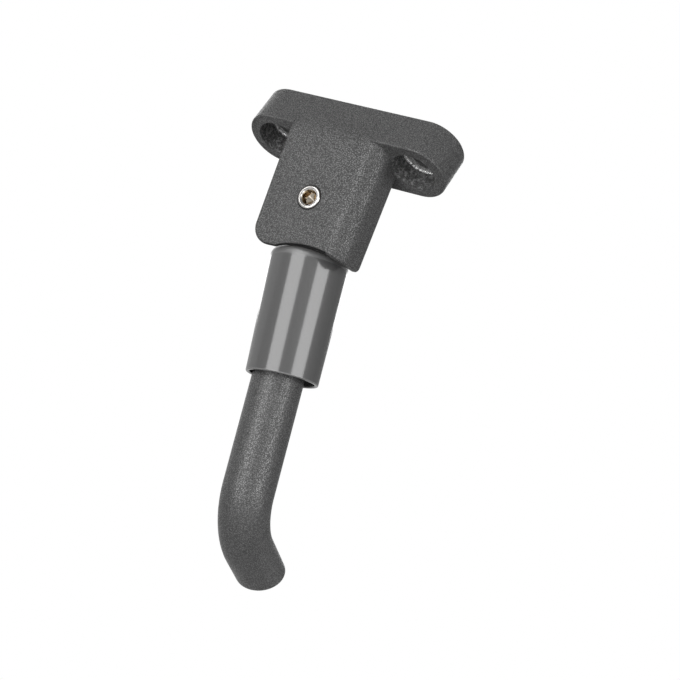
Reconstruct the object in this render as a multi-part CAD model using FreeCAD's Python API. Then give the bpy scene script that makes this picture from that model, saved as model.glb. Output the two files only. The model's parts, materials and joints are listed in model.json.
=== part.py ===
"""Folding kickstand for an electric scooter, in millimetres.

The origin is the middle of the flange's top face, which lies against the scooter's deck.
+Z is up, out of that face. X runs along the flange and +Y is the side the foot points to.
The leg is modelled unfolded, as it stands in use.
"""
import math
import os

import FreeCAD
import Part

# Flange that is screwed up against the deck
FLANGE_LENGTH = 65.3
FLANGE_WIDTH = 18.6
FLANGE_THICK = 12.0
FLANGE_EDGE_FILLET = 0.5
SCREW_SPACING = 46.0
SCREW_HOLE_DIA = 5.5
COUNTERBORE_DIA = 13.0
COUNTERBORE_DEPTH = 6.9
COUNTERBORE_CORNER = 0.7
COUNTERBORE_STRETCH = 1.0
COUNTERBORE_SCALLOP = 3.5

# Leaning body under the flange, measured from the pin in the body's front face
BODY_LEAN_DEG = 25.0
LEAN_BLEND_RADIUS = 15.0
PIN_X = -1.15
PIN_DROP = 20.1
BODY_LEFT_TOP = 14.95
BODY_LEFT_LOW = 13.6
BODY_RIGHT_TOP = 17.45
BODY_RIGHT_LOW = 16.75
BODY_DROP_LEFT = 16.3
BODY_DROP_RIGHT = 15.0
LOW_CORNER_RADIUS = 5.4
RIGHT_CORNER_RADIUS = 6.0
FRONT_EDGE_FILLET = 0.8
RIGHT_WALL_DEPTH = 12.4
REAR_CORNER_RADIUS = 1.7
FLANGE_BITE = 1.0

# Arch in the lower edge, over the sleeve
ARCH_LEFT_RADIUS = 15.0
ARCH_RIGHT_RADIUS = 36.0
ARCH_SIDE = 0.3
ARCH_TOP = 14.3

# Rear ear and the bridge that joins it to the front
EAR_RADIUS = 11.0
EAR_BACK = 22.4
BRIDGE_LOW = 9.0
BRIDGE_REAR_RISE = 3.0

# How far the leg folds, and the slot for its eye
FOLD_DEG = 95.0
SLOT_FRONT = 8.4
SLOT_BACK = 17.6
SLOT_RADIUS = 9.0
SLOT_TOP = 7.6
STOP_GAP = 0.15

# Pivot pin, its nut and washers, measured along the pin from the body's front face
PIN_DIA = 6.9
PIN_BORE_CLEARANCE = 0.05
PIN_PROUD = 0.5
PIN_EDGE_FILLET = 0.45
SOCKET_ACROSS_FLATS = 4.0
SOCKET_DEPTH = 3.0
SOCKET_POINT = 1.2
SOCKET_LEAD = 0.5
PIN_TAIL_DIA = 6.0
PIN_TAIL_END = 29.6
TAIL_BORE_CLEARANCE = 0.1
TAIL_CHAMFER = 0.6
NUT_ACROSS_FLATS = 10.0
NUT_THICK = 5.6
NUT_CHAMFER = 0.7
NUT_INSERT_DIA = 8.0
NUT_INSERT_THICK = 1.6
NUT_WASHER_DIA = 11.6
NUT_WASHER_THICK = 1.0
WASHER_DIA = 14.0
WASHER_THICK = 0.55
WASHER_BORE_CLEARANCE = 0.15

# Eye stud, which carries the sleeve and screws into the rod
AXIS_DEPTH = 13.0
NECK_SIDE = -2.25
NECK_LEAN_DEG = 8.6
NECK_DIA = 11.0
NECK_LENGTH = 36.0
EYE_RADIUS = 7.6
EYE_THICK = 8.0
EYE_FLAT_LENGTH = 13.3
STUD_TAIL_DIA = 9.0
STUD_TAIL_LENGTH = 14.0
STUD_PIN_DIA = 2.5
STUD_PIN_LENGTH = 14.0
STUD_PIN_BORE = 1.3
BUSH_WALL = 1.0

# Sleeve that slides on the stud's neck
SLEEVE_TOP = 13.4
SLEEVE_SHOULDER = 15.9
SLEEVE_LOW = 50.5
SLEEVE_TOP_RADIUS = 11.39
SLEEVE_LOW_RADIUS = 10.55
SLEEVE_BORE_RADIUS = 9.45
SLEEVE_CEILING = 16.0
SLEEVE_RIM_FILLET = 0.35
SLEEVE_BUSH_WALL = 1.1
SLEEVE_FIT = 0.06
SWING_GAP = 0.4

# Spring and its seat
SEAT_THICK = 1.5
SEAT_DIA = 18.3
SEAT_BORE_CLEARANCE = 0.15
SPRING_WIRE_DIA = 1.7
SPRING_MEAN_RADIUS = 7.6
SPRING_TURNS = 5.5

# Rod with its bent foot
ROD_SIDE = -2.0
ROD_LEAN_DEG = 7.0
ROD_DIA = 15.05
BEND_START = 83.0
BEND_RADIUS = 17.3
BEND_DEG = 64.8
BEND_TURN_DEG = 2.8
FOOT_LENGTH = 13.15
FOOT_END_DIA = 13.97
FOOT_CUT_DEG = 16.0
FOOT_SIDE_CUT_DEG = -8.2
FOOT_EDGE_FILLET = 0.9

# LONG reaches past the whole part, and SQUARE tells a face that looks one way from its neighbours
LONG = 200.0
SQUARE = 0.7

LEAN = math.radians(BODY_LEAN_DEG)
ORIGIN = FreeCAD.Vector(0, 0, 0)
ALONG_X = FreeCAD.Vector(1, 0, 0)
ALONG_Y = FreeCAD.Vector(0, 1, 0)
ALONG_Z = FreeCAD.Vector(0, 0, 1)
DOWN = FreeCAD.Vector(0, 0, -1)

# The body's own frame: x across, y into the body along the pin, z up its leaning face
body_frame = FreeCAD.Placement(
    FreeCAD.Vector(PIN_X,
                   PIN_DROP * math.sin(LEAN) - FLANGE_WIDTH / 2,
                   -PIN_DROP * math.cos(LEAN) - FLANGE_THICK),
    FreeCAD.Rotation(ALONG_X, BODY_LEAN_DEG))


def leaning_frame(side, lean_deg):
    """Frame on an axis of the leg: its z runs down the leg from level with the pin."""
    turn = FreeCAD.Rotation(ALONG_Y, -lean_deg).multiply(FreeCAD.Rotation(ALONG_X, 180))
    return FreeCAD.Placement(FreeCAD.Vector(side, AXIS_DEPTH, 0), turn)


def placed(shape, frame):
    """Copy of a shape moved by a frame."""
    moved = shape.copy()
    moved.Placement = frame.multiply(moved.Placement)
    return moved


def disc_rod(radius, start, end, along):
    """Round bar on an axis through the origin, from start to end along it."""
    return Part.makeCylinder(radius, end - start, along * start, along)


def block(x_span, y_span, z_span):
    """Box between two values on each axis."""
    return Part.makeBox(x_span[1] - x_span[0], y_span[1] - y_span[0], z_span[1] - z_span[0],
                        FreeCAD.Vector(x_span[0], y_span[0], z_span[0]))


def line(a, b):
    """Straight edge."""
    return Part.LineSegment(a, b).toShape()


def hexagon(across_flats, start, end):
    """Hexagonal bar along the pin."""
    corner = across_flats / math.sqrt(3)
    points = [FreeCAD.Vector(corner * math.cos(math.radians(60 * k)), start,
                             corner * math.sin(math.radians(60 * k))) for k in range(6)]
    face = Part.Face(Part.makePolygon(points + points[:1]))
    return face.extrude(ALONG_Y * (end - start))


def deck_point(depth):
    """Point just under the flange's top face, this deep in the body's frame."""
    up_wall = FreeCAD.Vector(0, math.sin(LEAN), math.cos(LEAN))
    start = ALONG_Z * PIN_DROP + up_wall * (FLANGE_THICK - FLANGE_BITE)
    run = (depth - start.y) / math.cos(LEAN)
    return start + FreeCAD.Vector(0, math.cos(LEAN), -math.sin(LEAN)) * run


def side_bar(rear_points):
    """Bar along x behind the front skin: leaning face, blend and flange wall, then the rear points."""
    reach = LEAN_BLEND_RADIUS * math.tan(LEAN / 2)
    inset = LEAN_BLEND_RADIUS / math.cos(LEAN / 2) - LEAN_BLEND_RADIUS
    crease = ALONG_Z * PIN_DROP
    up_wall = FreeCAD.Vector(0, math.sin(LEAN), math.cos(LEAN))
    face_low = DOWN * LONG / 2
    face_top = crease + DOWN * reach
    blend_middle = crease + FreeCAD.Vector(0, math.cos(LEAN / 2), -math.sin(LEAN / 2)) * inset
    wall_low = crease + up_wall * reach
    wall_top = crease + up_wall * (FLANGE_THICK - FLANGE_BITE)
    rear_low = FreeCAD.Vector(0, rear_points[-1].y, face_low.z)
    chain = [wall_top] + rear_points + [rear_low, face_low, face_top]
    edges = [line(a, b) for a, b in zip(chain, chain[1:])]
    edges += [Part.Arc(face_top, blend_middle, wall_low).toShape(), line(wall_low, wall_top)]
    bar = Part.Face(Part.Wire(edges)).extrude(ALONG_X * LONG)
    bar.translate(ALONG_X * -LONG / 2)
    return bar


def normal_of(face):
    """Outward direction at the middle of a face."""
    u_low, u_high, v_low, v_high = face.ParameterRange
    return face.normalAt((u_low + u_high) / 2, (v_low + v_high) / 2)


def shared_edges(shape, first, second):
    """Edges where a face that passes the first test meets one that passes the second."""
    firsts = [e for f in shape.Faces if first(f) for e in f.Edges]
    seconds = [e for f in shape.Faces if second(f) for e in f.Edges]
    return [e for e in firsts if any(e.isSame(other) for other in seconds)]


def faces_front(face):
    """True for the leaning face, its blend and the flange wall above it."""
    return normal_of(face).y < -SQUARE


def faces_right(face):
    """True for the right wall."""
    return normal_of(face).x > SQUARE


def faces_back(face):
    """True for the rear of the front shell."""
    return normal_of(face).y > SQUARE


def faces_down(face):
    """True for the lower edge."""
    return normal_of(face).z < -SQUARE


def faces_left_or_down(face):
    """True for the left side, the lower edge and the corner between them."""
    normal = normal_of(face)
    return normal.x < 0 and abs(normal.y) < SQUARE or faces_down(face)


# Flange with rounded ends
half_straight = (FLANGE_LENGTH - FLANGE_WIDTH) / 2
flange = block((-half_straight, half_straight), (-FLANGE_WIDTH / 2, FLANGE_WIDTH / 2), (-FLANGE_THICK, 0))
for end_x in (-half_straight, half_straight):
    flange_end = disc_rod(FLANGE_WIDTH / 2, -FLANGE_THICK, 0, ALONG_Z)
    flange_end.translate(ALONG_X * end_x)
    flange = flange.fuse(flange_end)
flange = flange.removeSplitter()
level_edges = [e for e in flange.Edges if e.BoundBox.ZLength < FLANGE_EDGE_FILLET]
flange = flange.makeFillet(FLANGE_EDGE_FILLET, level_edges)

# Front shell: the outline seen along the pin, trimmed to the skin and the depth of the right wall
outline_top = PIN_DROP + FLANGE_THICK
corners = [FreeCAD.Vector(-BODY_LEFT_TOP, -LONG / 2, outline_top),
           FreeCAD.Vector(-BODY_LEFT_LOW, -LONG / 2, -BODY_DROP_LEFT),
           FreeCAD.Vector(BODY_RIGHT_LOW, -LONG / 2, -BODY_DROP_RIGHT),
           FreeCAD.Vector(BODY_RIGHT_TOP, -LONG / 2, outline_top)]
outline_bar = Part.Face(Part.makePolygon(corners + corners[:1])).extrude(ALONG_Y * LONG)
low_corner = [e for e in outline_bar.Edges
              if e.BoundBox.XMax < 0 and e.BoundBox.ZMax < 0 and e.BoundBox.YLength > LONG / 2]
outline_bar = outline_bar.makeFillet(LOW_CORNER_RADIUS, low_corner)
shell = outline_bar.common(side_bar([deck_point(RIGHT_WALL_DEPTH)])).removeSplitter()
shell = shell.makeFillet(RIGHT_CORNER_RADIUS, shared_edges(shell, faces_front, faces_right))
shell = shell.makeFillet(REAR_CORNER_RADIUS, shared_edges(shell, faces_back, faces_down))

# Arch over the sleeve, then soft front edges
neck_frame = leaning_frame(NECK_SIDE, NECK_LEAN_DEG)
for radius, x_span in ((ARCH_LEFT_RADIUS, (-LONG, ARCH_SIDE)), (ARCH_RIGHT_RADIUS, (ARCH_SIDE, LONG))):
    arch = Part.makeCylinder(radius, LONG, FreeCAD.Vector(ARCH_SIDE, -LONG / 2, ARCH_TOP + radius), ALONG_Y)
    shell = shell.cut(placed(arch.common(block(x_span, (-LONG, LONG), (-LONG, LONG))), neck_frame))
shell = shell.makeFillet(FRONT_EDGE_FILLET, shared_edges(shell, faces_front, faces_left_or_down))

# Rear ear on a bridge that passes under the flange's rear wall
rear_edge = ALONG_Z * PIN_DROP + FreeCAD.Vector(0, math.cos(LEAN), -math.sin(LEAN)) * FLANGE_WIDTH
rear_rise = rear_edge + FreeCAD.Vector(0, math.sin(LEAN), math.cos(LEAN)) * BRIDGE_REAR_RISE
bridge = side_bar([deck_point(rear_edge.y), rear_rise, FreeCAD.Vector(0, EAR_BACK, BRIDGE_LOW)])
bridge = bridge.common(block((-EAR_RADIUS, EAR_RADIUS), (0, LONG), (BRIDGE_LOW, LONG)))
ear = disc_rod(EAR_RADIUS, SLOT_BACK, EAR_BACK, ALONG_Y)
ear = ear.fuse(block((-EAR_RADIUS, EAR_RADIUS), (SLOT_BACK, EAR_BACK), (0, BRIDGE_LOW)))
ear = ear.fuse(bridge).removeSplitter()

# Room in front of the blend, taken out of the flange's straight wall
blend_room = block((FRONT_EDGE_FILLET - BODY_LEFT_TOP, BODY_RIGHT_TOP - RIGHT_CORNER_RADIUS),
                   (-RIGHT_CORNER_RADIUS, RIGHT_CORNER_RADIUS),
                   (PIN_DROP - FLANGE_THICK, PIN_DROP + FLANGE_THICK / 2))
blend_room = blend_room.cut(side_bar([deck_point(RIGHT_WALL_DEPTH)]))

# Room for the sleeve to swing from its stop to the folded end
sleeve_room = Part.makeCylinder(SLEEVE_TOP_RADIUS + SWING_GAP, LONG,
                                ALONG_Z * (SLEEVE_TOP - SWING_GAP), ALONG_Z)
room_top = [e for e in sleeve_room.Edges if e.BoundBox.ZMax < SLEEVE_TOP]
sleeve_room = sleeve_room.makeFillet(SLEEVE_SHOULDER - SLEEVE_TOP + SWING_GAP, room_top)
room_section = placed(Part.Face(sleeve_room.slice(ALONG_X, 0)), neck_frame)
fold_turn = FreeCAD.Placement(ORIGIN, FreeCAD.Rotation(ALONG_Y, FOLD_DEG))
rest_room = placed(sleeve_room, neck_frame)
swing_room = rest_room.fuse([room_section.revolve(ORIGIN, ALONG_Y, FOLD_DEG), placed(rest_room, fold_turn)])

# Slot for the eye: round the pin, out to the left, and down to the stop on the right
stop_side = NECK_DIA / 2 + STOP_GAP
slot_span = (SLOT_FRONT, SLOT_BACK)
leg_slot_span = (SLOT_FRONT - AXIS_DEPTH, SLOT_BACK - AXIS_DEPTH)
down_slot = placed(block((-NECK_DIA, stop_side), leg_slot_span, (0, LONG)), neck_frame)
slot = disc_rod(SLOT_RADIUS, SLOT_FRONT, SLOT_BACK, ALONG_Y)
slot = slot.fuse([block((-LONG, 0), slot_span, (-LONG, SLOT_TOP)), down_slot])

# Bracket: one casting with its bores
mount_bracket = flange.cut(placed(blend_room, body_frame))
mount_bracket = mount_bracket.fuse([placed(shell, body_frame), placed(ear, body_frame)]).removeSplitter()
pin_bore = disc_rod(PIN_DIA / 2 + PIN_BORE_CLEARANCE, -PIN_DIA, SLOT_FRONT, ALONG_Y)
tail_bore = disc_rod(PIN_TAIL_DIA / 2 + TAIL_BORE_CLEARANCE, SLOT_FRONT, LONG, ALONG_Y)
for tool in (swing_room, slot, pin_bore, tail_bore):
    mount_bracket = mount_bracket.cut(placed(tool, body_frame))
recess_z = (-FLANGE_THICK - COUNTERBORE_SCALLOP, COUNTERBORE_DEPTH - FLANGE_THICK)
for hand in (-1, 1):
    screw_hole = disc_rod(SCREW_HOLE_DIA / 2, -FLANGE_THICK, 0, ALONG_Z)
    recess = disc_rod(COUNTERBORE_DIA / 2, recess_z[0], recess_z[1], ALONG_Z)
    inner_end = recess.copy()
    inner_end.translate(ALONG_X * -hand * COUNTERBORE_STRETCH)
    stretch = block((-COUNTERBORE_STRETCH / 2, COUNTERBORE_STRETCH / 2),
                    (-COUNTERBORE_DIA / 2, COUNTERBORE_DIA / 2), recess_z)
    stretch.translate(ALONG_X * -hand * COUNTERBORE_STRETCH / 2)
    recess = recess.fuse([inner_end, stretch]).removeSplitter()
    floor_rim = [e for e in recess.Edges if e.BoundBox.ZMin > recess_z[1] - COUNTERBORE_CORNER]
    screw_space = screw_hole.fuse(recess.makeFillet(COUNTERBORE_CORNER, floor_rim))
    screw_space.translate(ALONG_X * hand * SCREW_SPACING / 2)
    mount_bracket = mount_bracket.cut(screw_space)
mount_bracket = mount_bracket.removeSplitter()

# Pivot pin with a hexagon socket and a threaded tail
pin = disc_rod(PIN_DIA / 2, -PIN_PROUD, SLOT_BACK, ALONG_Y)
pin = pin.makeFillet(PIN_EDGE_FILLET, [e for e in pin.Edges if e.BoundBox.YMax < 0])
tail = disc_rod(PIN_TAIL_DIA / 2, SLOT_FRONT, PIN_TAIL_END, ALONG_Y)
tail = tail.makeChamfer(TAIL_CHAMFER, [e for e in tail.Edges if e.BoundBox.YMin > EAR_BACK])
socket_floor = SOCKET_DEPTH - PIN_PROUD
socket = hexagon(SOCKET_ACROSS_FLATS, -PIN_PROUD, socket_floor)
socket_point = Part.makeCone(SOCKET_ACROSS_FLATS / 2, 0, SOCKET_POINT, ALONG_Y * socket_floor, ALONG_Y)
lead_radius = SOCKET_ACROSS_FLATS / math.sqrt(3) + SOCKET_LEAD / 2
socket_lead = Part.makeCone(lead_radius, SOCKET_ACROSS_FLATS / 2, SOCKET_LEAD, ALONG_Y * -PIN_PROUD, ALONG_Y)
pin = pin.fuse(tail).cut(socket.fuse([socket_lead, socket_point]))
pivot_pin = placed(pin.removeSplitter(), body_frame)

# Nut behind the ear, with its plain washer and the plastic ring that locks it
nut_start = EAR_BACK + NUT_WASHER_THICK
nut_end = nut_start + NUT_THICK
nut_round = disc_rod(NUT_ACROSS_FLATS / math.sqrt(3), nut_start, nut_end, ALONG_Y)
nut_rims = [e for e in nut_round.Edges if e.BoundBox.YLength < NUT_CHAMFER]
nut = hexagon(NUT_ACROSS_FLATS, nut_start, nut_end).common(nut_round.makeChamfer(NUT_CHAMFER, nut_rims))
insert = disc_rod(NUT_INSERT_DIA / 2, nut_end - NUT_INSERT_THICK, nut_end, ALONG_Y)
lock_nut = placed(nut.cut(insert).cut(tail_bore), body_frame)
nut_insert = placed(insert.cut(tail_bore), body_frame)
nut_washer = placed(disc_rod(NUT_WASHER_DIA / 2, EAR_BACK, nut_start, ALONG_Y).cut(tail_bore), body_frame)

# Thrust washers on both sides of the eye
washer_bore = disc_rod(PIN_DIA / 2 + WASHER_BORE_CLEARANCE, 0, LONG, ALONG_Y)
front_disc = disc_rod(WASHER_DIA / 2, SLOT_FRONT, SLOT_FRONT + WASHER_THICK, ALONG_Y)
rear_disc = disc_rod(WASHER_DIA / 2, SLOT_BACK - WASHER_THICK, SLOT_BACK, ALONG_Y)
front_washer = placed(front_disc.cut(washer_bore), body_frame)
rear_washer = placed(rear_disc.cut(washer_bore), body_frame)

# Eye stud: flat eye, round neck and the tail that goes into the rod
eye_span = (AXIS_DEPTH - EYE_THICK / 2, AXIS_DEPTH + EYE_THICK / 2)
neck = disc_rod(NECK_DIA / 2, 0, NECK_LENGTH, ALONG_Z)
for side in (-1, 1):
    flat = block((-NECK_DIA, NECK_DIA), (0, NECK_DIA), (-NECK_DIA, EYE_FLAT_LENGTH))
    flat.translate(ALONG_Y * (EYE_THICK / 2 if side > 0 else -EYE_THICK / 2 - NECK_DIA))
    neck = neck.cut(flat)
stud_tail = disc_rod(STUD_TAIL_DIA / 2, NECK_LENGTH, NECK_LENGTH + STUD_TAIL_LENGTH, ALONG_Z)
bush_radius = PIN_DIA / 2 + PIN_BORE_CLEARANCE + BUSH_WALL
eye = disc_rod(EYE_RADIUS, eye_span[0], eye_span[1], ALONG_Y)
eye_hole = disc_rod(bush_radius, eye_span[0], eye_span[1], ALONG_Y)
stud_pin_drop = NECK_LENGTH + STUD_TAIL_LENGTH / 2
stud_pin_room = disc_rod(STUD_PIN_DIA / 2, -STUD_PIN_LENGTH / 2, STUD_PIN_LENGTH / 2, ALONG_Y)
stud_pin_room.translate(ALONG_Z * stud_pin_drop)
stud = eye.fuse([placed(neck, neck_frame), placed(stud_tail, neck_frame)]).removeSplitter().cut(eye_hole)
eye_stud = placed(stud.cut(placed(stud_pin_room, neck_frame)), body_frame)
eye_bush = placed(eye_hole.cut(disc_rod(PIN_DIA / 2 + PIN_BORE_CLEARANCE, 0, LONG, ALONG_Y)), body_frame)

# Hollow cross pin that keeps the stud in the rod
leg_frame = body_frame.multiply(neck_frame)
stud_pin_bore = disc_rod(STUD_PIN_BORE / 2, -STUD_PIN_LENGTH, STUD_PIN_LENGTH, ALONG_Y)
stud_pin_bore.translate(ALONG_Z * stud_pin_drop)
stud_pin = placed(stud_pin_room.cut(stud_pin_bore), leg_frame)

# Sleeve turned about the neck, with the plastic bush it slides on
shoulder_radius = SLEEVE_SHOULDER - SLEEVE_TOP
shoulder_turn = shoulder_radius * math.sqrt(0.5)
slide_radius = NECK_DIA / 2 + SLEEVE_FIT
bore_radius = slide_radius + SLEEVE_BUSH_WALL
shoulder_inner = SLEEVE_TOP_RADIUS - shoulder_radius


def leg_point(radius, drop):
    """Point in the plane of the sleeve's outline."""
    return FreeCAD.Vector(radius, 0, drop)


shoulder = Part.Arc(leg_point(shoulder_inner, SLEEVE_TOP),
                    leg_point(shoulder_inner + shoulder_turn, SLEEVE_SHOULDER - shoulder_turn),
                    leg_point(SLEEVE_TOP_RADIUS, SLEEVE_SHOULDER)).toShape()
sleeve_points = [leg_point(SLEEVE_TOP_RADIUS, SLEEVE_SHOULDER), leg_point(SLEEVE_LOW_RADIUS, SLEEVE_LOW),
                 leg_point(SLEEVE_BORE_RADIUS, SLEEVE_LOW), leg_point(SLEEVE_BORE_RADIUS, SLEEVE_CEILING),
                 leg_point(bore_radius, SLEEVE_CEILING), leg_point(bore_radius, SLEEVE_TOP),
                 leg_point(shoulder_inner, SLEEVE_TOP)]
sleeve_lines = [line(a, b) for a, b in zip(sleeve_points, sleeve_points[1:])]
sleeve = Part.Face(Part.Wire([shoulder] + sleeve_lines)).revolve(ORIGIN, ALONG_Z, 360)
rim_edges = [e for e in sleeve.Edges if e.BoundBox.ZMin > SLEEVE_LOW - SLEEVE_RIM_FILLET]
spring_sleeve = placed(sleeve.makeFillet(SLEEVE_RIM_FILLET, rim_edges), leg_frame)
slide_bush = disc_rod(bore_radius, SLEEVE_TOP, SLEEVE_CEILING, ALONG_Z)
sleeve_bush = placed(slide_bush.cut(disc_rod(slide_radius, 0, LONG, ALONG_Z)), leg_frame)

# Spring seat on the end of the rod, and the spring between it and the sleeve's ceiling
seat_top = NECK_LENGTH - SEAT_THICK
seat = disc_rod(SEAT_DIA / 2, seat_top, NECK_LENGTH, ALONG_Z)
seat = seat.cut(disc_rod(NECK_DIA / 2 + SEAT_BORE_CLEARANCE, 0, LONG, ALONG_Z))
spring_seat = placed(seat, leg_frame)
spring_height = seat_top - SLEEVE_CEILING - SPRING_WIRE_DIA
coil = Part.makeHelix(spring_height / SPRING_TURNS, spring_height, SPRING_MEAN_RADIUS)
wire_end = Part.Wire(Part.makeCircle(SPRING_WIRE_DIA / 2, ALONG_X * SPRING_MEAN_RADIUS, ALONG_Y))
spring = Part.Wire(coil).makePipeShell([wire_end], True, True)
spring.translate(ALONG_Z * (SLEEVE_CEILING + SPRING_WIRE_DIA / 2))
sleeve_spring = placed(spring, leg_frame)

# Rod: straight length, then a bend to the level foot
rod_frame = body_frame.multiply(leaning_frame(ROD_SIDE, ROD_LEAN_DEG))
rod_frame = rod_frame.multiply(FreeCAD.Placement(ORIGIN, FreeCAD.Rotation(ALONG_Z, -BEND_TURN_DEG)))
bend = math.radians(BEND_DEG)


def bend_point(angle):
    """Point on the middle line of the bend."""
    return FreeCAD.Vector(0, BEND_RADIUS * (math.cos(angle) - 1), BEND_START + BEND_RADIUS * math.sin(angle))


foot_way = FreeCAD.Vector(0, -math.sin(bend), math.cos(bend))
foot_out = FreeCAD.Vector(0, math.cos(bend), math.sin(bend))
foot_start = bend_point(bend)
foot_tip = foot_start + foot_way * FOOT_LENGTH
foot_past = foot_tip + foot_way * FOOT_END_DIA / 2
bend_edge = Part.Arc(bend_point(0), bend_point(bend / 2), foot_start).toShape()
spine = Part.Wire([bend_edge, line(foot_start, foot_past)])
sweep = Part.BRepOffsetAPI.MakePipeShell(spine)
sweep.add(Part.Wire(Part.makeCircle(ROD_DIA / 2, bend_point(0), ALONG_Z)))
sweep.add(Part.Wire(Part.makeCircle(FOOT_END_DIA / 2, foot_past, foot_way)))
sweep.build()
sweep.makeSolid()
foot = sweep.shape()
cut_tilt = math.radians(FOOT_CUT_DEG)
cut_side = math.radians(FOOT_SIDE_CUT_DEG)
cut_way = foot_way * math.cos(cut_tilt) + foot_out * math.sin(cut_tilt)
cut_way = cut_way * math.cos(cut_side) + ALONG_X * math.sin(cut_side)
foot = foot.cut(Part.makeCylinder(ROD_DIA, ROD_DIA, foot_tip, cut_way))
tip_edges = [e for e in foot.Edges if abs((e.CenterOfMass - foot_tip).dot(cut_way)) < FOOT_EDGE_FILLET / 2]
foot = foot.makeFillet(FOOT_EDGE_FILLET, tip_edges)
rod = placed(disc_rod(ROD_DIA / 2, 0, BEND_START, ALONG_Z).fuse(foot), rod_frame)
above_rod = disc_rod(ROD_DIA, -ROD_DIA, NECK_LENGTH, ALONG_Z)
leg_rod = rod.cut(placed(above_rod.fuse([stud_tail, stud_pin_room]), leg_frame)).removeSplitter()

nodes = {
    "mount_bracket": mount_bracket,
    "pivot_pin": pivot_pin,
    "front_washer": front_washer,
    "rear_washer": rear_washer,
    "nut_washer": nut_washer,
    "lock_nut": lock_nut,
    "nut_insert": nut_insert,
    "eye_stud": eye_stud,
    "eye_bush": eye_bush,
    "stud_pin": stud_pin,
    "spring_sleeve": spring_sleeve,
    "sleeve_bush": sleeve_bush,
    "spring_seat": spring_seat,
    "sleeve_spring": sleeve_spring,
    "leg_rod": leg_rod,
}
os.makedirs("parts", exist_ok=True)
for name, shape in nodes.items():
    shape.exportStep(f"parts/{name}.step")
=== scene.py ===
import json
import math

import bpy
from mathutils import Matrix, Vector


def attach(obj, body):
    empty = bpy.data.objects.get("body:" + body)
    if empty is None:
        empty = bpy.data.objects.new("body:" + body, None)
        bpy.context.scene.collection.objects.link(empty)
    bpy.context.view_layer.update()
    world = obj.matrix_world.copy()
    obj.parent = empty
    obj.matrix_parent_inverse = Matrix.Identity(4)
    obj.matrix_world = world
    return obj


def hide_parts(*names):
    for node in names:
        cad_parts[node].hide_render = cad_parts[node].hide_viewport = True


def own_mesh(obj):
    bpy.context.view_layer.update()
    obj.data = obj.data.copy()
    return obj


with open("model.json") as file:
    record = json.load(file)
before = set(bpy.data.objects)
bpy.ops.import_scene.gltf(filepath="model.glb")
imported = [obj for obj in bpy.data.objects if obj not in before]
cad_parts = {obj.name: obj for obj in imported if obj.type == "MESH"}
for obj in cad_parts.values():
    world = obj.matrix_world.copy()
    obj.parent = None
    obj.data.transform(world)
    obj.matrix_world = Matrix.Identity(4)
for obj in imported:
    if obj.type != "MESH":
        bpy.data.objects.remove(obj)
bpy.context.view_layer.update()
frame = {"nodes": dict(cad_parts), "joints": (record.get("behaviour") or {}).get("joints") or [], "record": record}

# Pin, leg and screws, in metres, from the frame
JOINTS = {joint["name"]: joint for joint in frame["joints"]}
PIN_AT = Vector(JOINTS["leg_fold"]["pos_m"])
PIN_WAY = Vector(JOINTS["leg_fold"]["axis"])
LEG_WAY = Vector(JOINTS["sleeve_slide"]["axis"])
LEG_SIDE = PIN_WAY.cross(LEG_WAY).normalized()
MOUNTS = {mount["name"]: mount for mount in frame["record"]["mounts"]}
SCREW_X = MOUNTS["flange_bolts"]["dims"]["spacing_x_mm"] / 2000
SCREW_HOLE_RADIUS = MOUNTS["flange_bolts"]["dims"]["hole_r_mm"] / 1000

# Top of the leg's axis, level with the pin, and places down the leg from there
AXIS_DEPTH = 0.013
NECK_SIDE = -0.00225
NECK_AT = PIN_AT + PIN_WAY * AXIS_DEPTH + Vector((NECK_SIDE, 0, 0))
SLEEVE_SHOULDER = 0.0159
SLEEVE_MIDDLE = 0.033
SLEEVE_LOW = 0.0505

# Screw recesses: their shape, and where their paint is rubbed off
RECESS_RADIUS = 0.0078
RECESS_TOP_Z = -0.0001
RECESS_FLOOR_Z = -0.0051
RECESS_CORNER = 0.0007
CORNER_RISE = 0.0003
CORNER_INNER_RADIUS = 0.0046
CORNER_OUTER_RADIUS = 0.0054
RING_WIDTH = 0.0008
RING_BRIGHT_WIDTH = 0.0002
RING_DROP = 0.001
WALL_LOW_Z = -0.0125
WALL_HIGH_Z = -0.011
WALL_INNER_RADIUS = 0.0056
WALL_OUTER_RADIUS = 0.006
SCUFF_SIZE = 0.0012
PATCH_SIZE = 0.0006

# Painted shade: near-black paint where the gaps round the pin and under the arch lie in shade
PIN_RADIUS = 0.00345
PIN_GAP = 0.0004
ARCH_TOP = 0.0138
ARCH_HALF = 0.0112
ARCH_DEPTH = 0.004
ARCH_GAP_START = 0.00015
ARCH_GAP_FULL = 0.0003
ARCH_LIP = 0.00012
ARCH_LIP_SIDE = -0.006
GAP_SHADE_STRENGTH = 0.95

# Powder coat
GRAIN_SIZE = 0.0005
PIMPLE_SIZE = 0.0004
GLINT_SPACING = 0.00035
GLINT_SCATTER = 0.9
GLINT_EDGE = 0.5
GLINT_HEART = 0.2
PAINT_CLOUD_SIZE = 0.012
PAINT_RELIEF = 0.00014

# Sleeve lacquer
LACQUER_MARK_SIZE = 0.0009
LACQUER_CLOUD_SIZE = 0.01
LACQUER_INDEX = 1.8
LACQUER_RELIEF = 0.00001
WORN_RIM = 0.0006
WORN_RIM_FULL = 0.0001
RUBBED_LIT_SHOULDER = 0.0012

# Pin's face and hexagon socket
PIN_PROUD = 0.0005
SOCKET_RADIUS = 0.00236
SOCKET_FLOOR = 0.0024
SOCKET_FADE = 0.0002
GROOVE_RADIUS = 0.0027
GROOVE_HALF = 0.00014
GROOVE_HEART = 0.00004
GROOVE_DEPTH = 0.0001
NICKEL_WEAR_SIZE = 0.0006
NICKEL_RELIEF = 0.00003

# Turned metal and moulded plastic
TURNING_MARK_SIZE = 0.0005
METAL_CLOUD_SIZE = 0.004
BLOOM_SIZE = 0.0008
FINE_RELIEF = 0.00002

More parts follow.
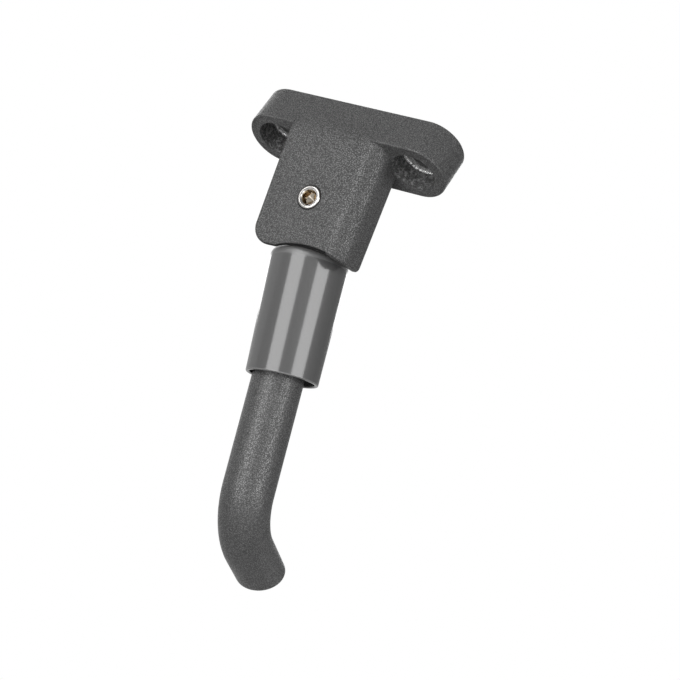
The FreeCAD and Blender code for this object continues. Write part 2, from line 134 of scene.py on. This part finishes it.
# Spring between the sleeve's ceiling and its seat, measured down the leg from the pin
SPRING_TOP = 0.016
SPRING_LOW = 0.0345
SPRING_WIRE = 0.0017
SPRING_MEAN_RADIUS = 0.0076
SPRING_TURNS = 5.5
SPRING_STEPS = 40
WIRE_SIDES = 14

# Camera
CAMERA_AT = Vector((0.22517, -0.30526, -0.26302))
CAMERA_RIGHT = Vector((0.8418, 0.2206, 0.4927))
CAMERA_VIEW = Vector((-0.4702, 0.7479, 0.4685))
LENS_MM = 83.49
SENSOR_MM = 36.0
NEAREST_SEEN = 0.01

# Floor, lamps and world
FLOOR_Z = -0.62
FLOOR_HALF = 3.0
FLOOR_NEAR = 0.5
FLOOR_FAR = 1.6
FLOOR_SPECK_SIZE = 0.004
FLOOR_WHITENESS = 0.7
FLOOR_MIRRORED = 0.4
LAMP_DISTANCE = 0.75
FILL_LIGHT = 0.115
MIRRORED_WALL = 0.66
MIRRORED_CEILING = 0.27
CEILING_START = 0.15
CEILING_FULL = 0.6


class Value:
    """A shader socket that takes part in Python arithmetic."""

    def __init__(self, finish, socket):
        self.finish = finish
        self.socket = socket

    def maths(self, operation, first, second):
        return self.finish.node("ShaderNodeMath", {"operation": operation}, {0: first, 1: second})

    def __add__(self, other):
        return self.maths("ADD", self, other)

    __radd__ = __add__

    def __sub__(self, other):
        return self.maths("SUBTRACT", self, other)

    def __rsub__(self, other):
        return self.maths("SUBTRACT", other, self)

    def __mul__(self, other):
        return self.maths("MULTIPLY", self, other)

    __rmul__ = __mul__

    def __pow__(self, other):
        return self.maths("POWER", self, other)

    def __gt__(self, other):
        return self.maths("GREATER_THAN", self, other)

    def __lt__(self, other):
        return self.maths("LESS_THAN", self, other)

    def __abs__(self):
        return self.maths("ABSOLUTE", self, 0.0)


class Finish:
    """One node tree: a material's, or the world's."""

    def __init__(self, owner):
        owner.use_nodes = True
        self.tree = owner.node_tree
        self.tree.nodes.clear()

    def node(self, kind, settings, sockets, output=0):
        """Adds a node: its settings first, then what its sockets hold or are linked to."""
        added = self.tree.nodes.new(kind)
        for name, value in settings.items():
            setattr(added, name, value)
        for name, value in sockets.items():
            if isinstance(value, Value):
                self.tree.links.new(value.socket, added.inputs[name])
            else:
                added.inputs[name].default_value = value
        return Value(self, added.outputs[output]) if added.outputs else None

    def place(self):
        """Object coordinates, in metres."""
        return self.node("ShaderNodeTexCoord", {}, {}, output="Object")

    def part_of(self, vector, index):
        """One of a vector's x, y and z."""
        return self.node("ShaderNodeSeparateXYZ", {}, {0: vector}, output=index)

    def vector_maths(self, operation, first, second, output=0):
        """Sum, product or the like of two vectors."""
        return self.node("ShaderNodeVectorMath", {"operation": operation}, {0: first, 1: second}, output)

    def along(self, vector, start, way):
        """Distance of a place from a start point, measured along a direction."""
        offset = self.vector_maths("SUBTRACT", vector, start)
        return self.vector_maths("DOT_PRODUCT", offset, way, output="Value")

    def from_axis(self, vector, start, way):
        """Distance of a place from a line through a start point."""
        offset = self.vector_maths("SUBTRACT", vector, start)
        across = self.vector_maths("CROSS_PRODUCT", offset, way)
        return self.node("ShaderNodeVectorMath", {"operation": "LENGTH"}, {0: across}, output="Value")

    def noise(self, vector, size, detail=2.0, roughness=0.5):
        """Soft noise whose lumps are about this size, from 0 to 1."""
        return self.node("ShaderNodeTexNoise", {}, {"Vector": vector, "Scale": 1 / size, "Detail": detail,
                                                    "Roughness": roughness})

    def flecks(self, vector, size, scatter):
        """Distance from the nearest of many scattered points, as a share of their spacing."""
        return self.node("ShaderNodeTexVoronoi", {}, {"Vector": vector, "Scale": 1 / size,
                                                      "Randomness": scatter}, output="Distance")

    def band(self, value, low, high):
        """Rises smoothly from 0 at low to 1 at high, which may be the smaller of the two."""
        return self.node("ShaderNodeMapRange", {"interpolation_type": "SMOOTHSTEP"},
                         {"Value": value, "From Min": low, "From Max": high})

    def blend(self, amount, first, second):
        """Colour between two colours."""
        return self.node("ShaderNodeMix", {"data_type": "RGBA"}, {0: amount, 6: first, 7: second}, output=2)

    def bump(self, height, depth, strength):
        """Surface relief from a height that runs from 0 to 1."""
        return self.node("ShaderNodeBump", {}, {"Height": height, "Distance": depth, "Strength": strength})

    def ray(self, kind):
        """1 for rays of one kind and 0 for the rest."""
        return self.node("ShaderNodeLightPath", {}, {}, output=f"Is {kind} Ray")

    def surface(self, **sockets):
        """Closes the material with one main shader."""
        named = {name.replace("_", " "): value for name, value in sockets.items()}
        shader = self.node("ShaderNodeBsdfPrincipled", {}, named)
        self.node("ShaderNodeOutputMaterial", {}, {"Surface": shader})


def new_finish(name):
    """An empty material and its node tree."""
    material = bpy.data.materials.new(name)
    return material, Finish(material)


def grey(level, warmth=0.0):
    """Grey of a given level, a little red where it is warm."""
    return (level * (1 + warmth), level, level * (1 - warmth), 1.0)


def bare_metal(finish, place):
    """How bare the metal is in the screw recesses: rubbed corners, a ring at the hole and scuffed walls."""
    x = finish.part_of(place, 0)
    y = finish.part_of(place, 1)
    z = finish.part_of(place, 2)
    from_screw = abs(x) - SCREW_X
    radius = (from_screw * from_screw + y * y) ** 0.5
    inside = (radius < RECESS_RADIUS) * (z < RECESS_TOP_Z)
    corner_height = finish.band(z, RECESS_FLOOR_Z - RECESS_CORNER, RECESS_FLOOR_Z - CORNER_RISE)
    corner = corner_height * finish.band(radius, CORNER_INNER_RADIUS, CORNER_OUTER_RADIUS)
    hole_edge = finish.band(radius, SCREW_HOLE_RADIUS + RING_WIDTH, SCREW_HOLE_RADIUS + RING_BRIGHT_WIDTH)
    ring = hole_edge * (z > RECESS_FLOOR_Z - RING_DROP)
    scuff = finish.band(finish.noise(place, SCUFF_SIZE, detail=5.0, roughness=0.8), 0.48, 0.66)
    wall_height = finish.band(z, WALL_LOW_Z, WALL_HIGH_Z)
    wall = 0.4 * scuff * wall_height * finish.band(radius, WALL_INNER_RADIUS, WALL_OUTER_RADIUS)
    patchy = finish.band(finish.noise(place, PATCH_SIZE, detail=3.0, roughness=0.8), 0.42, 0.58)
    return inside * ((0.15 + 0.85 * patchy) * (corner + 0.6 * ring) + wall)


def painted_gap_shade(finish, place):
    """Painted shade on the bracket where its edge lies in the dark gaps: round the pin, and along the arch over
    the sleeve.
    """
    pin_distance = finish.from_axis(place, PIN_AT, PIN_WAY)
    shade_round_pin = finish.band(pin_distance, PIN_RADIUS + PIN_GAP, PIN_RADIUS + PIN_GAP / 2)
    depth = finish.along(place, PIN_AT, PIN_WAY)
    side = finish.along(place, NECK_AT, LEG_SIDE)
    under_arch = (abs(side) < ARCH_HALF) * (finish.along(place, NECK_AT, LEG_WAY) > ARCH_TOP)
    lip = depth + ARCH_LIP * finish.band(side, 0.0, ARCH_LIP_SIDE)
    shade_along_arch = under_arch * finish.band(lip, ARCH_GAP_START, ARCH_GAP_FULL) * (depth < ARCH_DEPTH)
    return shade_round_pin, shade_along_arch


def powder_coat(name, dark, light, index, polish, sparkle, glow, is_bracket):
    """Grey powder coat with a fine glinting grain; the bracket's has bare recesses and painted shade in its dark
    gaps.
    """
    material, finish = new_finish(name)
    place = finish.place()
    grain = finish.noise(place, GRAIN_SIZE, detail=3.0, roughness=0.65)
    pimple = finish.band(finish.noise(place, PIMPLE_SIZE), 0.35, 0.65)
    glint = finish.band(finish.flecks(place, GLINT_SPACING, GLINT_SCATTER), GLINT_EDGE, GLINT_HEART)
    cloud = finish.noise(place, PAINT_CLOUD_SIZE)
    colour = finish.blend(0.3 * pimple + 0.2 * cloud + 0.5 * glint, dark, light)
    roughness = polish + 0.1 * grain
    metallic = 0.0
    if is_bracket:
        bare = bare_metal(finish, place)
        colour = finish.blend(bare, colour, grey(0.92))
        metallic = 0.8 * bare
        roughness = roughness - 0.2 * bare
        # Painted shade: the bracket's coat turns near black in the gaps round the pin and under the arch
        for gap in painted_gap_shade(finish, place):
            colour = finish.blend(GAP_SHADE_STRENGTH * gap, colour, grey(0.002))
            glint = glint * (1 - gap)
    finish.surface(Base_Color=colour, Roughness=roughness, Metallic=metallic, IOR=index,
                   Coat_Weight=glint, Coat_Roughness=glow, Coat_IOR=sparkle,
                   Normal=finish.bump(0.6 * grain + 0.4 * pimple, PAINT_RELIEF, 0.8))
    return material


def sleeve_paint(name):
    """Smooth grey gloss lacquer: dull from rubbing at the shoulder, where it is also painted lighter as painted
    light, and worn bright at the lower rim.
    """
    material, finish = new_finish(name)
    place = finish.place()
    depth = finish.along(place, NECK_AT, LEG_WAY)
    marks = finish.noise(place, LACQUER_MARK_SIZE, detail=3.0)
    cloud = finish.noise(place, LACQUER_CLOUD_SIZE, detail=1.0)
    rim = finish.band(depth, SLEEVE_LOW - WORN_RIM, SLEEVE_LOW - WORN_RIM_FULL)
    rubbed_and_lit = finish.band(depth, SLEEVE_SHOULDER + RUBBED_LIT_SHOULDER, SLEEVE_SHOULDER)
    colour = finish.blend(0.5 * marks + 0.3 * cloud, grey(0.092), grey(0.108))
    colour = finish.blend(0.5 * rim, colour, grey(0.3))
    # Painted light: the shoulder is painted lighter so it reads mid-grey under the bracket's dark reflection
    colour = finish.blend(0.5 * rubbed_and_lit, colour, grey(0.22))
    finish.surface(Base_Color=colour, IOR=LACQUER_INDEX, Roughness=0.13 + 0.05 * marks + 0.25 * rubbed_and_lit,
                   Normal=finish.bump(marks, LACQUER_RELIEF, 0.1))
    return material


def nickel_pin(name):
    """Bright nickel, with a fine cut ring round the face painted dark as its shade, and dark brass inside the
    hexagon socket: partly the brass colour and partly painted shade, lighter on the socket floor.
    """
    material, finish = new_finish(name)
    place = finish.place()
    radius = finish.from_axis(place, PIN_AT, PIN_WAY)
    depth = finish.along(place, PIN_AT, PIN_WAY)
    within_socket = finish.band(radius, SOCKET_RADIUS, SOCKET_RADIUS - SOCKET_FADE)
    inside = within_socket * (depth > SOCKET_FADE - PIN_PROUD)
    groove_shade = finish.band(abs(radius - GROOVE_RADIUS), GROOVE_HALF, GROOVE_HEART) * (depth < GROOVE_DEPTH)
    wear = finish.noise(place, NICKEL_WEAR_SIZE, detail=3.0)
    # Painted shade: the socket's brass is painted darker on its walls than on its floor
    brass_and_shade = inside * (0.6 + 0.4 * (depth < SOCKET_FLOOR))
    colour = finish.blend(brass_and_shade * (0.7 + 0.3 * wear), grey(0.6, 0.03), (0.34, 0.25, 0.13, 1.0))
    # Painted shade: the fine groove round the face is painted near black
    colour = finish.blend(groove_shade, colour, grey(0.04))
    finish.surface(Base_Color=colour, Metallic=1.0, Roughness=0.1 + 0.12 * wear,
                   Normal=finish.bump(wear - groove_shade, NICKEL_RELIEF, 0.4))
    return material


def turned_metal(name, dark, light, polish):
    """Plain metal with fine marks and a little unevenness."""
    material, finish = new_finish(name)
    place = finish.place()
    marks = finish.noise(place, TURNING_MARK_SIZE, detail=4.0)
    cloud = finish.noise(place, METAL_CLOUD_SIZE)
    colour = finish.blend(0.5 * marks + 0.5 * cloud, dark, light)
    finish.surface(Base_Color=colour, Metallic=1.0, Roughness=polish + 0.15 * marks,
                   Normal=finish.bump(marks, FINE_RELIEF, 0.3))
    return material


def moulded_nylon(name, dark, light):
    """Moulded plastic with a fine bloom."""
    material, finish = new_finish(name)
    bloom = finish.noise(finish.place(), BLOOM_SIZE, detail=3.0)
    finish.surface(Base_Color=finish.blend(bloom, dark, light), Roughness=0.4 + 0.2 * bloom,
                   Normal=finish.bump(bloom, FINE_RELIEF, 0.3))
    return material


def pale_floor(name):
    """Matt floor that keeps shadows: near white to the camera, white far away, and pale in reflections."""
    material, finish = new_finish(name)
    place = finish.place()
    speck = finish.noise(place, FLOOR_SPECK_SIZE)
    far = finish.band(finish.from_axis(place, Vector((0, 0, 0)), Vector((0, 0, 1))), FLOOR_NEAR, FLOOR_FAR)
    colour = finish.blend(speck, grey(0.5), grey(0.54))
    matt = finish.node("ShaderNodeBsdfPrincipled", {}, {"Base Color": colour, "Roughness": 0.85})
    white = finish.node("ShaderNodeEmission", {}, {"Color": grey(1.0), "Strength": 1.0})
    camera = finish.ray("Camera")
    glossy = finish.ray("Glossy")
    seen_white = (FLOOR_WHITENESS + (1 - FLOOR_WHITENESS) * far) * camera
    mirrored_white = FLOOR_MIRRORED * (1 - camera) * glossy
    shown = finish.node("ShaderNodeMixShader", {}, {0: seen_white + mirrored_white, 1: matt, 2: white})
    finish.node("ShaderNodeOutputMaterial", {}, {"Surface": shown})
    return material


def dress(node, material):
    """Gives a node of the part its finish."""
    mesh = frame["nodes"][node].data
    mesh.materials.clear()
    mesh.materials.append(material)


def leg_matrix():
    """Frame on the leg's axis, with z down the leg and x in the plane of the swing."""
    turn = Matrix((LEG_SIDE, LEG_WAY.cross(LEG_SIDE), LEG_WAY)).transposed()
    return Matrix.Translation(NECK_AT) @ turn.to_4x4()


def coil_spring():
    """Round wire swept up a screw, standing on the seat round the stud's neck."""
    bpy.ops.object.select_all(action="DESELECT")
    bpy.ops.mesh.primitive_circle_add(vertices=WIRE_SIDES, radius=SPRING_WIRE / 2, fill_type="NGON",
                                      location=(SPRING_MEAN_RADIUS, 0, 0), rotation=(math.pi / 2, 0, 0))
    bpy.ops.object.transform_apply(location=True, rotation=True, scale=True)
    piece = bpy.context.object
    piece.name = "coil_spring"
    piece.data.name = "coil_spring"
    bpy.ops.object.mode_set(mode="EDIT")
    bpy.ops.mesh.select_all(action="SELECT")
    bpy.ops.mesh.delete(type="ONLY_FACE")
    bpy.ops.object.mode_set(mode="OBJECT")
    screw = piece.modifiers.new("screw", "SCREW")
    screw.axis = "Z"
    screw.angle = 2 * math.pi * SPRING_TURNS
    screw.screw_offset = SPRING_LOW - SPRING_TOP - SPRING_WIRE
    screw.steps = int(SPRING_STEPS * SPRING_TURNS)
    screw.render_steps = screw.steps
    screw.use_smooth_shade = True
    bpy.ops.object.modifier_apply(modifier=screw.name)
    bpy.ops.object.mode_set(mode="EDIT")
    bpy.ops.mesh.select_all(action="DESELECT")
    bpy.ops.mesh.select_mode(type="EDGE")
    bpy.ops.mesh.select_non_manifold()
    bpy.ops.mesh.fill_holes(sides=WIRE_SIDES)
    bpy.ops.mesh.select_all(action="SELECT")
    bpy.ops.mesh.normals_make_consistent(inside=False)
    bpy.ops.object.mode_set(mode="OBJECT")
    stand = Matrix.Translation((0, 0, SPRING_TOP + SPRING_WIRE / 2))
    piece.data.transform(leg_matrix() @ stand)
    return piece


def soft_lamp(name, swing_deg, dip_deg, wide_deg, tall_deg, radiance):
    """Soft box aimed at the sleeve: swung about the leg from the camera's side, then dipped down the leg."""
    target = NECK_AT + LEG_WAY * SLEEVE_MIDDLE
    to_camera = (CAMERA_AT - target).normalized()
    down_share = to_camera.dot(LEG_WAY)
    facing = (to_camera - LEG_WAY * down_share).normalized()
    right = facing.cross(LEG_WAY)
    swing = math.radians(swing_deg)
    level = math.sqrt(1 - down_share * down_share)
    way = (facing * math.cos(swing) + right * math.sin(swing)) * level - LEG_WAY * down_share
    across = (right * math.cos(swing) - facing * math.sin(swing)).normalized()
    downward = across.cross(way).normalized()
    dip = math.radians(dip_deg)
    way = (way * math.cos(dip) + downward * math.sin(dip)).normalized()
    upward = way.cross(across).normalized()
    lamp = bpy.data.lights.new(name, "AREA")
    lamp.shape = "RECTANGLE"
    lamp.size = 2 * LAMP_DISTANCE * math.tan(math.radians(wide_deg / 2))
    lamp.size_y = 2 * LAMP_DISTANCE * math.tan(math.radians(tall_deg / 2))
    lamp.energy = radiance * math.pi * lamp.size * lamp.size_y
    holder = bpy.data.objects.new(name, lamp)
    bpy.context.scene.collection.objects.link(holder)
    turn = Matrix((across, upward, across.cross(upward))).transposed()
    holder.matrix_world = Matrix.Translation(target + way * LAMP_DISTANCE) @ turn.to_4x4()


def studio_world():
    """White to the camera and through glass, pale in reflections with a darker ceiling, and a low fill."""
    world = bpy.data.worlds.new("studio")
    bpy.context.scene.world = world
    finish = Finish(world)
    camera = finish.ray("Camera")
    glossy = finish.ray("Glossy")
    through = finish.ray("Transmission")
    way = finish.node("ShaderNodeTexCoord", {}, {}, output="Generated")
    ceiling = finish.band(finish.part_of(way, 2), CEILING_START, CEILING_FULL)
    mirrored = MIRRORED_WALL - (MIRRORED_WALL - MIRRORED_CEILING) * ceiling
    lighting = through + (1 - through) * FILL_LIGHT
    strength = camera + (1 - camera) * (glossy * mirrored + (1 - glossy) * lighting)
    background = finish.node("ShaderNodeBackground", {}, {"Color": grey(1.0), "Strength": strength})
    finish.node("ShaderNodeOutputWorld", {}, {"Surface": background})


def studio_floor():
    """Wide pale floor far below the part."""
    bpy.ops.object.select_all(action="DESELECT")
    bpy.ops.mesh.primitive_plane_add(size=2 * FLOOR_HALF, location=(0, 0, FLOOR_Z))
    floor = bpy.context.object
    floor.name = "floor"
    bpy.ops.object.transform_apply(location=True, rotation=True, scale=True)
    floor.data.materials.append(pale_floor("floor_matt"))


def place_camera():
    """Camera below the part, looking up at its front."""
    lens = bpy.data.cameras.new("camera")
    lens.lens = LENS_MM
    lens.sensor_width = SENSOR_MM
    lens.clip_start = NEAREST_SEEN
    holder = bpy.data.objects.new("camera", lens)
    bpy.context.scene.collection.objects.link(holder)
    back = -CAMERA_VIEW.normalized()
    up = back.cross(CAMERA_RIGHT).normalized()
    turn = Matrix((up.cross(back), up, back)).transposed()
    holder.matrix_world = Matrix.Translation(CAMERA_AT) @ turn.to_4x4()
    bpy.context.scene.camera = holder


# Finishes on the pieces of the part
# Bracket and leg wear the same powder coat; the leg's copy is painted darker as painted shade, and given more
# gloss
bracket_coat = powder_coat("bracket_coat", dark=grey(0.045), light=grey(0.165), index=1.3, polish=0.42,
                           sparkle=1.72, glow=0.34, is_bracket=True)
shaded_leg_coat = powder_coat("shaded_leg_coat", dark=grey(0.034), light=grey(0.125), index=1.52, polish=0.35,
                       sparkle=1.85, glow=0.33, is_bracket=False)
dress("mount_bracket", bracket_coat)
dress("leg_rod", shaded_leg_coat)
dress("spring_sleeve", sleeve_paint("sleeve_gloss"))
dress("pivot_pin", nickel_pin("pin_nickel"))
zinc = turned_metal("zinc_steel", grey(0.42), grey(0.6), polish=0.25)
for name in ("front_washer", "rear_washer", "nut_washer", "lock_nut", "eye_stud", "stud_pin", "spring_seat"):
    dress(name, zinc)
dress("eye_bush", turned_metal("bush_brass", (0.55, 0.38, 0.14, 1.0), (0.72, 0.52, 0.22, 1.0), polish=0.3))
dress("nut_insert", moulded_nylon("white_nylon", grey(0.62), grey(0.72)))
dress("sleeve_bush", moulded_nylon("black_nylon", grey(0.02), grey(0.04)))

# Spring between the sleeve and its seat, carried with the leg
spring = coil_spring()
spring.data.materials.append(turned_metal("spring_wire", grey(0.25), grey(0.38), polish=0.3))
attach(spring, "leg")
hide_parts("sleeve_spring")
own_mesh(spring)

# Stage, light and camera
studio_floor()
studio_world()
soft_lamp("left_soft_box", swing_deg=-36.0, dip_deg=9.0, wide_deg=40.0, tall_deg=76.0, radiance=3.2)
soft_lamp("right_soft_box", swing_deg=43.5, dip_deg=9.0, wide_deg=39.0, tall_deg=34.0, radiance=3.2)
soft_lamp("low_soft_box", swing_deg=4.0, dip_deg=34.0, wide_deg=28.0, tall_deg=22.0, radiance=1.6)
soft_lamp("rear_soft_box", swing_deg=180.0, dip_deg=-30.0, wide_deg=60.0, tall_deg=60.0, radiance=2.2)
place_camera()
bpy.context.scene.view_settings.view_transform = "Standard"
